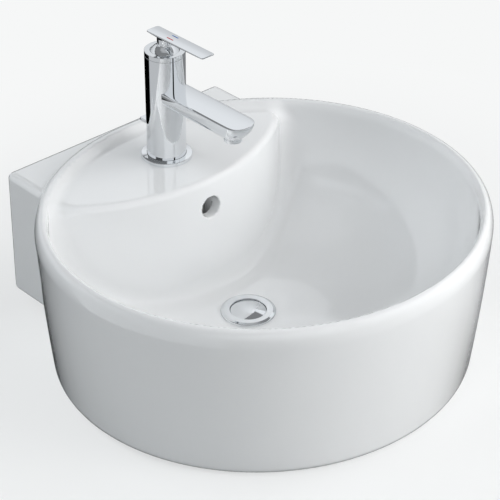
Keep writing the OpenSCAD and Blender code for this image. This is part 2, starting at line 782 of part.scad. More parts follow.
module flange_seal() {
    color([0.1, 0.1, 0.1]) at_waste() translate([0, 0, floor_z]) tube(seal_r, waste_hole / 2 + 0.1, 1.15);
}

module plug_cap() {
    color([0.8, 0.81, 0.83]) at_waste() difference() {
        rotate_extrude() polygon([
            [0, floor_z - 0.5], [plug_r - 1, floor_z - 0.5], [plug_r, floor_z + 0.4],
            [plug_r, flange_top - 0.6], [plug_r - 0.6, flange_top], [0, flange_top + 0.4]
        ]);
        translate([0, 0, floor_z - 1]) cylinder(r = 4 + fit_gap, h = 2.5);
    }
}

module plug_stem() {
    color([0.88, 0.88, 0.86]) at_waste() difference() {
        union() {
            translate([0, 0, eye_z + 7]) cylinder(r = 4, h = floor_z + 1.4 - eye_z - 7);
            translate([0, 0, floor_z - 4.5]) cylinder(r = bore_r - 1.2, h = 3.9);
            translate([-15, -1.2, floor_z - 40]) cube([30, 2.4, 36]);
            translate([-1.2, -15, floor_z - 4]) cube([2.4, 30, 3.4]);
            translate([-6.5, -2, eye_z - 7.5]) cube([13, 4, 18]);
        }
        translate([0, 0, eye_z]) along_y(-10, 10, ball_rod_d / 2 + 1);
    }
}

module plug_seal() {
    color([0.1, 0.1, 0.1]) at_waste() translate([0, 0, floor_z - 4]) tube(bore_r - 0.35, bore_r - 1.15, 3.4);
}

module waste_gasket() {
    color([0.12, 0.12, 0.12]) at_waste() difference() {
        union() {
            translate([0, 0, boss_z - gasket_h]) cylinder(r = waste_hole / 2 + 1.6 * seal_width, h = gasket_h);
            translate([0, 0, boss_z - 1]) cylinder(r = waste_hole / 2 - 0.1, h = 4);
        }
        translate([0, 0, boss_z - 10]) cylinder(r = thread_r + fit_gap, h = 20);
    }
}

module waste_washer() {
    color([0.85, 0.84, 0.8]) at_waste() translate([0, 0, boss_z - gasket_h - washer_h])
        tube(waste_hole / 2 + 1.6 * seal_width, thread_r + fit_gap, washer_h);
}

module waste_nut() {
    color([0.78, 0.66, 0.36]) at_waste() translate([0, 0, boss_z - gasket_h - washer_h - nut_height]) difference() {
        cylinder(r = waste_hole / 2 + 8.5, h = nut_height, $fn = 8);
        translate([0, 0, -1]) cylinder(r = thread_r + fit_gap, h = nut_height + 2);
    }
}

module tail_seal() {
    color([0.1, 0.1, 0.1]) at_waste() translate([0, 0, tail_top]) tube(tail_thread_r, tail_r - tail_wall, 1);
}

module tailpiece() {
    low = body_low - 0.5;
    color([0.8, 0.81, 0.83]) at_waste() difference() {
        union() {
            translate([0, 0, -tail_drop]) cylinder(r = tail_r, h = tail_drop + low);
            translate([0, 0, low - 1]) cylinder(r = tail_thread_r, h = tail_top - low + 1);
        }
        translate([0, 0, -tail_drop - 1]) cylinder(r = tail_r - tail_wall, h = tail_drop + 20);
    }
}

basin_body();
base_gasket();
base_flange();
tap_body();
cap_ring();
cartridge_body();
cartridge_seals();
cartridge_nut();
fixed_disc();
moving_disc();
disc_driver();
spindle_carrier();
spindle_pin();
cartridge_spindle();
lever_handle();
hot_mark();
cold_mark();
handle_set_screw();
set_screw_cap();
aerator_housing();
aerator_insert();
aerator_seal();
mounting_stud();
clamp_gasket();
clamp_plate();
stud_nut();
lift_knob();
lift_rod();
clevis_strap();
clevis_screw();
spring_clip();
ball_rod();
pivot_seal();
pivot_nut();
waste_body();
flange_seal();
plug_cap();
plug_stem();
plug_seal();
waste_gasket();
waste_washer();
waste_nut();
tail_seal();
tailpiece();
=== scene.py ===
"""Countertop basin with mixer tap and pop-up waste: the looks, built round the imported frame."""

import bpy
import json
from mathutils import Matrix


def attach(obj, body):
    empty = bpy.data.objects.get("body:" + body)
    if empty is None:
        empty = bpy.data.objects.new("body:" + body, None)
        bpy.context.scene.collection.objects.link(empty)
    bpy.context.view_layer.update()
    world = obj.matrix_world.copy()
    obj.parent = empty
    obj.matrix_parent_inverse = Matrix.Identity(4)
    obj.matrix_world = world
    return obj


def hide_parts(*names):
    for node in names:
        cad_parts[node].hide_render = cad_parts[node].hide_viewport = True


bl_info = {
    "name": "Countertop basin",
    "version": (1, 0, 0),
    "blender": (4, 5, 0),
    "location": "View3D > Sidebar > Basin",
    "description": "Builds a round countertop basin with its mixer tap and pop-up waste",
    "category": "Object",
}

import json
import math

import bpy
import numpy as np
from mathutils import Matrix, Vector

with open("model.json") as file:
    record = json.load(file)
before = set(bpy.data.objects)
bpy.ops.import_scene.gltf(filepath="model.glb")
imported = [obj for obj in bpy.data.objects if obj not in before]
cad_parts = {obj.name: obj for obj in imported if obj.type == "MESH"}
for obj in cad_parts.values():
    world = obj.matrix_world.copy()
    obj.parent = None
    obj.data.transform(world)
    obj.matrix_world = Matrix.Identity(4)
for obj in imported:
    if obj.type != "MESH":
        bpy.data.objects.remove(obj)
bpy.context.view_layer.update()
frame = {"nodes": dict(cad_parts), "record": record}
NODES = frame["nodes"]


# Small helpers

def in_mm(length):
    """A length setting in millimetres, rid of its rounding error."""
    return round(length * 1000, 4)


def linear(code):
    """An sRGB hex value as the linear colour that Blender works in."""
    parts = [int(code[i:i + 2], 16) / 255 for i in (1, 3, 5)]
    return tuple(c / 12.92 if c <= 0.04045 else ((c + 0.055) / 1.055) ** 2.4 for c in parts) + (1.0,)


def add_node(tree, kind, values=(), links=(), **settings):
    """Adds one node, sets its properties and sockets, and links (socket, other node, output)."""
    node = tree.nodes.new(kind)
    for key, value in settings.items():
        setattr(node, key, value)
    for socket, value in dict(values).items():
        node.inputs[socket].default_value = value
    for socket, other, output in links:
        tree.links.new(other.outputs[output], node.inputs[socket])
    return node


def new_material(name, colour, metallic=0.0, roughness=0.3, **sockets):
    """A material with its surface shader, whose uniform values sit on the shader's own sockets."""
    material = bpy.data.materials.new(name)
    material.use_nodes = True
    tree = material.node_tree
    shader = tree.nodes["Principled BSDF"]
    shader.inputs["Base Color"].default_value = linear(colour)
    shader.inputs["Metallic"].default_value = metallic
    shader.inputs["Roughness"].default_value = roughness
    for key, value in sockets.items():
        shader.inputs[key.replace("_", " ")].default_value = value
    return material, tree, shader


def vary_roughness(tree, shader, size_mm, low, high):
    """Uneven roughness with spots of about size_mm."""
    place = add_node(tree, "ShaderNodeTexCoord")
    noise = add_node(tree, "ShaderNodeTexNoise", {"Scale": 1000 / size_mm, "Detail": 3.0},
                     [("Vector", place, "Object")])
    spread = add_node(tree, "ShaderNodeMapRange",
                      {"From Min": 0.3, "From Max": 0.7, "To Min": low, "To Max": high},
                      [("Value", noise, "Fac")])
    tree.links.new(spread.outputs["Result"], shader.inputs["Roughness"])


def vary_colour(tree, shader, size_mm, first, second):
    """Two close linear colours mixed in soft clouds of about size_mm."""
    place = add_node(tree, "ShaderNodeTexCoord")
    noise = add_node(tree, "ShaderNodeTexNoise", {"Scale": 1000 / size_mm, "Detail": 2.0},
                     [("Vector", place, "Object")])
    mix = add_node(tree, "ShaderNodeMix", links=[("Factor", noise, "Fac")], data_type="RGBA")
    mix.inputs["A"].default_value = first
    mix.inputs["B"].default_value = second
    tree.links.new(mix.outputs["Result"], shader.inputs["Base Color"])


def add_bump(tree, shader, size_mm, depth_mm, strength=0.3, detail=2.0):
    """A fine relief with lumps of about size_mm, depth_mm high."""
    place = add_node(tree, "ShaderNodeTexCoord")
    noise = add_node(tree, "ShaderNodeTexNoise", {"Scale": 1000 / size_mm, "Detail": detail},
                     [("Vector", place, "Object")])
    bump = add_node(tree, "ShaderNodeBump", {"Strength": strength, "Distance": depth_mm / 1000},
                    [("Height", noise, "Fac")])
    tree.links.new(bump.outputs["Normal"], shader.inputs["Normal"])


def mesh_piece(name, points, faces, material, normals=None):
    """A mesh object from points in millimetres; normals, where given, are kept for its shading."""
    mesh = bpy.data.meshes.new(name)
    metres = [tuple(p) for p in np.asarray(points, float) / 1000]
    mesh.from_pydata(metres, [], [tuple(map(int, f)) for f in faces])
    mesh.validate()
    mesh.shade_smooth()
    if normals is not None:
        mesh.normals_split_custom_set_from_vertices([tuple(n) for n in normals])
    piece = bpy.data.objects.new(name, mesh)
    bpy.context.scene.collection.objects.link(piece)
    mesh.materials.append(material)
    return piece


def join(name, pieces):
    """Several meshes made into one piece."""
    bpy.ops.object.select_all(action="DESELECT")
    for p in pieces:
        p.select_set(True)
    bpy.context.view_layer.objects.active = pieces[0]
    bpy.ops.object.join()
    pieces[0].name = name
    pieces[0].data.name = name
    return pieces[0]


# Rounded profiles and turned pieces

def rounded(corners, steps=6):
    """Points and normals along an open outline whose corners (a, b, radius) are rounded."""
    pts, out = [np.array(c[:2], float) for c in corners], []
    for i, here in enumerate(pts):
        r = corners[i][2]
        if i == 0 or i == len(pts) - 1:
            way = pts[1] - pts[0] if i == 0 else pts[-1] - pts[-2]
            way = way / np.linalg.norm(way)
            out.append((here, np.array([way[1], -way[0]])))
            continue
        u, v = pts[i - 1] - here, pts[i + 1] - here
        lu, lv = np.linalg.norm(u), np.linalg.norm(v)
        u, v = u / lu, v / lv
        cosine = float(np.clip(np.dot(u, v), -1, 1))
        half = math.acos(cosine) / 2
        n0 = np.array([-u[1], u[0]])
        n1 = np.array([v[1], -v[0]])
        if r <= 0 or half > 1.56:
            out.append((here, n0))
            out.append((here + v * 0.004, n1))
            continue
        back = min(r / math.tan(half), 0.49 * lu, 0.49 * lv)
        r = back * math.tan(half)
        start = here + u * back
        turn = math.pi - 2 * half
        side = 1 if u[0] * v[1] - u[1] * v[0] < 0 else -1
        centre = start + n0 * (-r if side > 0 else r)
        for k in range(steps + 1):
            t = turn * k / steps * side
            c, s = math.cos(t), math.sin(t)
            n = np.array([c * n0[0] - s * n0[1], s * n0[0] + c * n0[1]])
            out.append((centre + n * (r if side > 0 else -r), n))
    return out


def turned(name, corners, centre, material, segments=96):
    """A piece turned on an upright axis; corners are (radius, height, rounding), outside on the right."""
    line = rounded(corners)
    cx, cy, cz = centre
    points, normals, faces = [], [], []
    for p, n in line:
        for k in range(segments):
            a = 2 * math.pi * k / segments
            points.append((cx + p[0] * math.cos(a), cy + p[0] * math.sin(a), cz + p[1]))
            normals.append((n[0] * math.cos(a), n[0] * math.sin(a), n[1]))
    rows = len(line)
    for i in range(rows - 1):
        if line[i][0][0] < 1e-6 and line[i + 1][0][0] < 1e-6:
            continue
        for k in range(segments):
            j = (k + 1) % segments
            low, high = i * segments, (i + 1) * segments
            faces.append((low + k, low + j, high + j, high + k))
    return mesh_piece(name, points, faces, material, normals)


def swept(name, rows, material, angle=32.0):
    """A capped skin over rows of points, each a closed loop, with sharp edges above angle."""
    count = len(rows[0])
    points = [p for row in rows for p in row]
    faces = []
    for i in range(len(rows) - 1):
        for k in range(count):
            j = (k + 1) % count
            low, high = i * count, (i + 1) * count
            faces.append((low + k, low + j, high + j, high + k))
    faces.append(tuple(range(count - 1, -1, -1)))
    faces.append(tuple(range((len(rows) - 1) * count, len(rows) * count)))
    piece = mesh_piece(name, points, faces, material)
    mesh = piece.data
    mesh.set_sharp_from_angle(angle=math.radians(angle))
    weighted = piece.modifiers.new("Face weighting", "WEIGHTED_NORMAL")
    weighted.keep_sharp = True
    weighted.weight = 50
    return piece


# Skins over smooth solid fields, used for the china

def round_cut(a, b, r):
    """What lies in both a and b, its edge rounded by r."""
    return np.minimum(-r, np.maximum(a, b)) + np.hypot(np.maximum(a + r, 0), np.maximum(b + r, 0))


def round_join(a, b, r):
    """What lies in a or b, the corner between them filled by r."""
    return np.maximum(r, np.minimum(a, b)) - np.hypot(np.maximum(r - a, 0), np.maximum(r - b, 0))


def smooth_step(t):
    """A soft step from 0 to 1."""
    t = np.clip(t, 0, 1)
    return t * t * (3 - 2 * t)


def slope_of(field, p, h):
    """The field's gradient by central differences."""
    g = np.empty_like(p)
    for i in range(3):
        d = np.zeros(3)
        d[i] = h
        g[:, i] = (field(p + d) - field(p - d)) / (2 * h)
    return g


def settle(field, p, rounds, h=0.05, limit=1.6):
    """Moves points onto the surface where the field is zero."""
    for _ in range(rounds):
        f, g = field(p), slope_of(field, p, h)
        step = -(f / np.maximum((g * g).sum(1), 1e-4))[:, None] * g
        size = np.linalg.norm(step, axis=1)[:, None]
        p = p + step * np.minimum(1, limit / np.maximum(size, 1e-9))
    return p


def skin(field, xs, ys, zs, relax=3):
    """Points, faces and normals of the surface where the field is zero, on a grid of cells."""
    grid = np.stack(np.meshgrid(xs, ys, zs, indexing="ij"), -1)
    value = field(grid.reshape(-1, 3)).reshape(grid.shape[:3])
    value[np.abs(value) < 1e-6] = 1e-6
    inside = value < 0
    nx, ny, nz = (n - 1 for n in value.shape)
    total = np.zeros((nx, ny, nz, 3))
    count = np.zeros((nx, ny, nz))
    corner = [(slice(0, n), slice(1, n + 1)) for n in (nx, ny, nz)]
    for axis in range(3):
        others = [a for a in range(3) if a != axis]
        for i in (0, 1):
            for j in (0, 1):
                lo, hi = [None] * 3, [None] * 3
                lo[axis], hi[axis] = corner[axis]
                lo[others[0]] = hi[others[0]] = corner[others[0]][i]
                lo[others[1]] = hi[others[1]] = corner[others[1]][j]
                lo, hi = tuple(lo), tuple(hi)
                cross = inside[lo] != inside[hi]
                a, b = value[lo], value[hi]
                t = np.where(cross, a / np.where(cross, a - b, 1), 0)[..., None]
                total += np.where(cross[..., None], grid[lo] * (1 - t) + grid[hi] * t, 0)
                count += cross
    used = count > 0
    index = np.full(used.shape, -1)
    index[used] = np.arange(used.sum())
    p = total[used] / count[used][:, None]
    faces = []
    for axis in range(3):
        a, b = [(1, 2), (2, 0), (0, 1)][axis]
        lo, hi = [slice(1, -1)] * 3, [slice(1, -1)] * 3
        lo[axis], hi[axis] = slice(0, -1), slice(1, None)
        cross = inside[tuple(lo)] != inside[tuple(hi)]
        out = inside[tuple(lo)][cross]
        cell = np.argwhere(cross)
        cell[:, a] += 1
        cell[:, b] += 1
        quad = []
        for da, db in ((1, 1), (0, 1), (0, 0), (1, 0)):
            c = cell.copy()
            c[:, a] -= da
            c[:, b] -= db
            quad.append(index[c[:, 0], c[:, 1], c[:, 2]])
        quad = np.stack(quad, 1)
        quad[~out] = quad[~out][:, ::-1]
        faces.append(quad)
    faces = np.concatenate(faces)
    edges = np.concatenate([faces[:, [k, (k + 1) % 4]] for k in range(4)])
    p = settle(field, p, 3)
    for _ in range(relax):
        mean, weight = np.zeros_like(p), np.zeros(len(p))
        for m, n in ((0, 1), (1, 0)):
            for i in range(3):
                mean[:, i] += np.bincount(edges[:, m], p[edges[:, n], i], len(p))
            weight += np.bincount(edges[:, m], minlength=len(p))
        p = settle(field, 0.45 * p + 0.55 * mean / np.maximum(weight, 1)[:, None], 2)
    normals = slope_of(field, p, 0.25)
    return p, faces, normals / np.linalg.norm(normals, axis=1)[:, None]


# The shape of the china, in millimetres from the middle of the drum on the worktop

class China:
    """Sizes of the basin as cast, the same as the frame's, and the field that they give."""

    # The drum: front to back over width, radius and height of the foot, lean and belly of its side
    oval = 478 / 500
    foot, foot_z = 237.0, 9.0
    lean, belly, belly_z = 0.09814, 0.000196, 89.5
    top, floor, deck = 185.0, 32.0, 176.0
    # The bowl: a squared dome upside down, rounder where square is nearer to 2
    mouth, mouth_top, depth = 235.0, 173.0, 143.5
    square = 2.6
    # The deck's front edge is an arc round a point behind the wall
    deck_y, deck_r = 337.0, 250.0
    box_half, box_low, box_top, wall = 156.0, 24.0, 175.0, 249.0
    # The hollow: its ceiling, the china's thickness, and its radius at four heights
    under, shell = 164.0, 12.0
    hollow_z, hollow_r = (-5, 12, 34, 164.0), (212, 212, 223, 236)
    overflow_z, overflow_r = 141.0, 12.5
    waste_y, waste_r = 25.0, 22.5
    tap_y, tap_r = 160.0, 17.5

    def __init__(self, edge, sweep):
        self.edge, self.sweep = edge, sweep

    def field(self, p):
        """How far each point lies outside the china, roughly in millimetres, and below 0 inside it."""
        x, y, z = p[:, 0], p[:, 1], p[:, 2]
        rho = np.hypot(x, y / self.oval)
        wide = np.abs(x)
        lift = z - self.foot_z
        # A tenth of a millimetre inside the frame, so that the skin stays in its box
        side = rho - (self.foot + self.lean * lift - self.belly * lift * (z - self.belly_z) - 0.1)
        lid = z - self.top
        drum = 10 * round_cut(side / 10, lid / 20, 1.0)
        n = self.square
        drop = np.maximum(self.mouth_top - z, 0) / self.depth
        bowl = self.mouth * (((rho / self.mouth) ** n + drop ** n) ** (1 / n) - 1)
        flat = self.floor - z
        blend = np.maximum(4 - np.abs(bowl - flat), 0)
        bowl = np.maximum(bowl, flat) + blend * blend / 16
        lined = 5 * round_cut(-bowl / 5, lid / 12, 1.0)
        # The deck and its sweep into the bowl
        front = np.hypot(x, y - self.deck_y) - self.deck_r - 0.05 * np.maximum(self.deck - z, 0)
        deck = round_cut(front, z - self.deck, self.edge + 14 * smooth_step((rho - 200) / 45))
        sweep = 15 + (self.sweep - 15) * smooth_step((self.deck - z) / 30)
        body = np.maximum(drum, round_join(lined, deck, sweep))
        body = round_cut(body, -z, 9.0)
        # The box that meets the wall
        box = round_cut(wide - self.box_half, z - self.box_top, 7.0)
        box = round_cut(box, self.box_low - z, 4.0)
        box = round_cut(np.maximum(box, 120 - y), y - self.wall, 3.0)
        box = np.maximum(box, np.where(y < 150, self.mouth + 4 - rho, -99))
        body = round_join(body, box, 4.0)
        # The hollow under the bowl and in the box
        inner = np.interp(z, self.hollow_z, self.hollow_r)
        room = round_cut(rho - inner, z - self.under, 6.0)
        shed = round_cut(wide - self.box_half + self.shell, z - self.under, 6.0)
        shed = round_cut(shed, self.box_low + self.shell - z, 6.0)
        shed = round_cut(shed, y - self.wall + self.shell, 6.0)
        room = np.minimum(room, np.maximum(shed, 117 - y))
        skin_drop = np.maximum(self.mouth_top - z, 0) / (self.depth + 12)
        under = 246 * (((rho / 246) ** n + skin_drop ** n) ** (1 / n) - 1)
        under = np.maximum(under, self.floor - self.shell - z)
        behind = self.deck_r - self.shell + 1 - np.hypot(x, y - self.deck_y)
        room = round_cut(room, -round_cut(under, behind, 6.0), 6.0)
        body = round_cut(body, -room, 3.0)
        # The overflow's way down inside the china, and the boss round the waste
        way = self.block(wide - 24, y, 95, 122, z, 4, 168)
        run = self.block(wide - 24, y, 25, 122, z, 4, 26)
        boss = np.maximum(np.hypot(x, y - self.waste_y) - 38, np.maximum(4 - z, z - 26))
        body = round_join(body, np.minimum(np.minimum(way, run), boss), 4.0)
        hole = np.hypot(x, z - self.overflow_z) - self.overflow_r
        hole = np.maximum(hole, np.maximum(60 - y, y - 105))
        duct = self.block(wide - 14, y, 99, 112, z, 9, 158)
        low = self.block(wide - 12, y, 25, 112, z, 9, 18)
        body = round_cut(body, -hole, 1.4)
        body = np.maximum(body, -np.minimum(duct, low))
        drain = np.maximum(np.hypot(x, y - self.waste_y) - self.waste_r, z - 60)
        body = round_cut(body, -drain, 1.0)
        tap = np.maximum(np.hypot(x, y - self.tap_y) - self.tap_r, 100 - z)
        return round_cut(body, -tap, 1.0)

    @staticmethod
    def block(across, y, front, rear, z, low, high):
        """A square-edged block from front to rear and from low to high."""
        middle, half = (front + rear) / 2, (rear - front) / 2
        return np.maximum(np.maximum(across, np.abs(y - middle) - half), np.maximum(low - z, z - high))


def graded(*stretches):
    """Grid lines from (start, end, step) stretches."""
    lines = [np.linspace(a, b, max(1, int(round((b - a) / s))), endpoint=False) for a, b, s in stretches]
    return np.append(np.concatenate(lines), stretches[-1][1])


# Materials

def glazed_china():
    """Vitreous china, slip cast and dipped in white glaze: deep even gloss over a faintly wavy surface."""
    glaze = bpy.context.scene.basin
    material, tree, shader = new_material("glazed_vitreous_china", "#F2F3F4", 0.0, 0.05, IOR=1.5,
                                          Coat_Weight=1.0, Coat_Roughness=0.02)
    # The glaze pools a little, so its white drifts over a hand's breadth
    vary_colour(tree, shader, 90, glaze.glaze_shade, glaze.glaze)
    add_bump(tree, shader, 22, 0.02, 0.25, 1.0)
    return material


def polished_chrome():
    """Chrome plate on polished brass: a cold mirror with a trace of haze from wiping."""
    material, tree, shader = new_material("polished_chrome_plate", "#ECEEF0", 1.0, 0.04)
    # The smears that a cloth leaves are about 14 mm across
    vary_roughness(tree, shader, 14, 0.025, 0.055)
    return material


def plain_metal(name, colour, roughness, grain_mm):
    """A metal left as its tool made it: haze and a fine relief, both of the grain's size."""
    # Real tool marks are about a tenth of this size, too fine to show, so they are drawn coarser
    material, tree, shader = new_material(name, colour, 1.0, roughness)
    vary_roughness(tree, shader, grain_mm, roughness * 0.8, roughness * 1.25)
    add_bump(tree, shader, grain_mm, 0.01, 0.2)
    return material


def turned_brass():
    """Free-cutting brass, turned and left bare: warm yellow with fine tool haze."""
    return plain_metal("turned_brass", "#C9A85C", 0.28, 1.2)


def brushed_steel():
    """Stainless steel strip, pickled and brushed: grey with a soft directionless grain."""
    return plain_metal("brushed_stainless_steel", "#A9ACB0", 0.34, 0.9)


def epdm_rubber():
    """EPDM rubber, moulded: near black, dull, with a powdery bloom in clouds."""
    material, tree, shader = new_material("moulded_epdm_rubber", "#1C1C1D", 0.0, 0.7)
    # Bloom lies in clouds of about 6 mm; the dull skin's grain is drawn coarser than it is, to show
    vary_colour(tree, shader, 6, linear("#19191A"), linear("#232324"))
    add_bump(tree, shader, 0.8, 0.03, 0.3)
    return material


def moulded_plastic(name, colour, second, roughness):
    """A moulded or pressed body: faint clouds from the flow and the mould's own fine grain."""
    # The mould's grain is really some 0.1 mm and is drawn at 0.6 mm, so that it shows
    material, tree, shader = new_material(name, colour, 0.0, roughness)
    vary_colour(tree, shader, 12, linear(colour), linear(second))
    add_bump(tree, shader, 0.6, 0.01, 0.2)
    return material


def sintered_alumina():
    """Alumina, sintered and lapped: chalk white, satin, very even."""
    return moulded_plastic("sintered_alumina", "#EDEBE4", "#E6E3DA", 0.25)


def nylon():
    """Nylon, injection moulded: milky white with a slight grain."""
    return moulded_plastic("moulded_nylon", "#E9E8E2", "#E2E0D8", 0.42)


def acetal():
    """Acetal, injection moulded in grey: waxy, softly shining."""
    return moulded_plastic("moulded_acetal", "#8C8F92", "#848789", 0.38)


def dark_nylon():
    """Glass-filled nylon in black: matt with pale flecks."""
    return moulded_plastic("glass_filled_nylon", "#26272A", "#303235", 0.5)


def baked_enamel(name, colour, second):
    """Enamel paint baked into a groove: strong even colour, smooth, level with the chrome round it."""
    material, tree, shader = new_material(name, colour, 0.0, 0.22)
    vary_colour(tree, shader, 3, linear(colour), linear(second))
    return material


FINISHES = {}


def finish_of(name):
    """The finishes, each made once."""
    makers = {
        "china": glazed_china,
        "chrome": polished_chrome,
        "brass": turned_brass,
        "steel": brushed_steel,
        "rubber": epdm_rubber,
        "alumina": sintered_alumina,
        "white_plastic": nylon,
        "grey_plastic": acetal,
        "dark_plastic": dark_nylon,
        "red_enamel": lambda: baked_enamel("red_baked_enamel", "#C8322F", "#BE2C2B"),
        "blue_enamel": lambda: baked_enamel("blue_baked_enamel", "#3F6CB4", "#3862A8"),
    }
    if name not in FINISHES:
        FINISHES[name] = makers[name]()
    return FINISHES[name]


# Settings

class BasinSettings(bpy.types.PropertyGroup):
    """What a user would change on the china"""
    deck_edge: bpy.props.FloatProperty(
        name="Deck edge", description="Rounding of the deck's front edge",
        default=0.007, min=0.003, max=0.01, precision=4, subtype="DISTANCE", unit="LENGTH")
    bowl_sweep: bpy.props.FloatProperty(
        name="Bowl sweep", description="Sweep between the deck's wall and the bowl",
        default=0.025, min=0.012, max=0.04, precision=4, subtype="DISTANCE", unit="LENGTH")
    cell: bpy.props.FloatProperty(
        name="Mesh size", description="Mesh size of the china",
        default=0.0039, min=0.0025, max=0.008, precision=4, subtype="DISTANCE", unit="LENGTH")
    glaze: bpy.props.FloatVectorProperty(
        name="Glaze", description="Colour of the glaze", subtype="COLOR", size=4,
        default=linear("#F3F4F4"), min=0, max=1)
    glaze_shade: bpy.props.FloatVectorProperty(
        name="Glaze in its clouds", description="Colour that the glaze drifts to in its soft clouds",
        subtype="COLOR", size=4, default=linear("#F1F2F3"), min=0, max=1)


class TapSettings(bpy.types.PropertyGroup):
    """What a user would change on the tap"""
    spout_crown: bpy.props.FloatProperty(
        name="Spout crown", description="Fall of the spout's top from its middle to its sides",
        default=0.00035, min=0, max=0.001, precision=5, subtype="DISTANCE", unit="LENGTH")
    lever_crown: bpy.props.FloatProperty(
        name="Lever crown", description="Fall of the lever's top from its middle to its sides",
        default=0.0002, min=0, max=0.001, precision=5, subtype="DISTANCE", unit="LENGTH")


class StageSettings(bpy.types.PropertyGroup):
    """What a user would change on the stage"""
    backdrop: bpy.props.FloatVectorProperty(
        name="Backdrop", description="Colour behind the object", subtype="COLOR", size=4,
        default=linear("#F6F7F7"), min=0, max=1)
    light: bpy.props.FloatProperty(
        name="Light", description="Factor on the power of all lamps", subtype="FACTOR",
        default=1.0, min=0, max=2)
    view_angle: bpy.props.FloatProperty(
        name="View angle", description="Angle that the camera takes in from side to side",
        subtype="ANGLE", unit="ROTATION", default=math.radians(14.670), min=0.05, max=1.5)


# Operators

class OBJECT_OT_basin_china(bpy.types.Operator):
    """Casts the china basin"""
    bl_idname = "object.basin_china"
    bl_label = "China basin"

    def execute(self, context):
        s = context.scene.basin
        shape = China(in_mm(s.deck_edge), in_mm(s.bowl_sweep))
        # Cells are finer at the overflow and the waste, and at the foot, the hole's heights and the rim
        c = in_mm(s.cell) * 1.0
        xs = graded((-254, -20, c), (-20, 20, c / 2), (20, 254, c))
        ys = graded((-243, 255, c))
        zs = graded((-6, 2, 2.0), (2, 14, c * 0.7), (14, 126, c), (126, 156, c / 2), (156, 190, c * 0.55))
        points, faces, normals = skin(shape.field, xs, ys, zs)
        piece = mesh_piece("basin_china", points, faces, finish_of("china"), normals)
        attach(piece, "basin")
        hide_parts("basin_body")
        return {"FINISHED"}


# Where the tap's foot stands on the deck; how far its outlet lies in front of it, half the spout's
# width, and the heights of spout and lever above the deck
TAP = (0.0, China.tap_y, China.deck)
OUTLET, SPOUT_HALF = 109.4, 18.0
SPOUT_TOP, LEVER_TOP = 89, 150


def outline(half, front, back, corner, inset, steps=6, back_corner=0.0):
    """A closed plan outline from the back left round the front; only a rounded back is inset too."""
    w, f = half - inset, front + inset
    c = max(corner - inset, 0.6)
    pts = []
    side = np.linspace(back, f + c, 14)
    if back_corner > 0:
        b = max(back_corner - inset, 0.5)
        back = back - inset
        side = np.linspace(back - b, f + c, 14)
    for y in side:
        pts.append((-w, y))
    for k in range(1, steps + 1):
        a = math.pi / 2 * k / steps
        pts.append((-w + c - c * math.cos(a), f + c - c * math.sin(a)))
    for t in np.linspace(0, 1, 8)[1:]:
        pts.append((-w + c + (2 * w - 2 * c) * t, f))
    for k in range(1, steps + 1):
        a = math.pi / 2 * k / steps
        pts.append((w - c + c * math.sin(a), f + c - c * math.cos(a)))
    for y in side[::-1][1:]:
        pts.append((w, y))
    if back_corner > 0:
        for k in range(1, steps + 1):
            a = math.pi / 2 * k / steps
            pts.append((w - b + b * math.cos(a), back - b + b * math.sin(a)))
        for t in np.linspace(0, 1, 8)[1:]:
            pts.append((w - b - (2 * w - 2 * b) * t, back))
        for k in range(1, steps):
            a = math.pi / 2 * k / steps
            pts.append((-w + b - b * math.sin(a), back - b + b * math.cos(a)))
    else:
        for t in np.linspace(0, 1, 8)[1:-1]:
            pts.append((w - 2 * w * t, back))
    return pts


def spout_loop(fall, inset):
    """The spout's outline at some fall below its top: straight sides and a nose round the outlet."""
    # The sides draw in from 4 mm below the top and the nose from 1 mm, more and more as they go down
    low = max(0.0, (fall - 4) / 13.5)
    half = SPOUT_HALF - 4.8 * low ** 3.2 - inset
    nose = 23.1 - 9.9 * max(0.0, (fall - 1.0) / 16.5) ** 1.9 - inset

    def reach(a):
        """How far the nose reaches in one direction from the outlet, a square with round corners."""
        return ((abs(math.sin(a)) / half) ** 10 + (1 / nose) ** 10) ** -0.1

    side = reach(math.pi / 2)
    loop = [(-side, y) for y in np.linspace(-4, -OUTLET, 15)[:-1]]
    for k in range(41):
        a = math.pi * (k / 40 - 0.5)
        loop.append((reach(a) * math.sin(a), -OUTLET - reach(a) * math.cos(a)))
    loop += [(side, y) for y in np.linspace(-OUTLET, -4, 15)[1:]]
    loop += [(side * t, -4) for t in np.linspace(1, -1, 9)[1:-1]]
    return loop


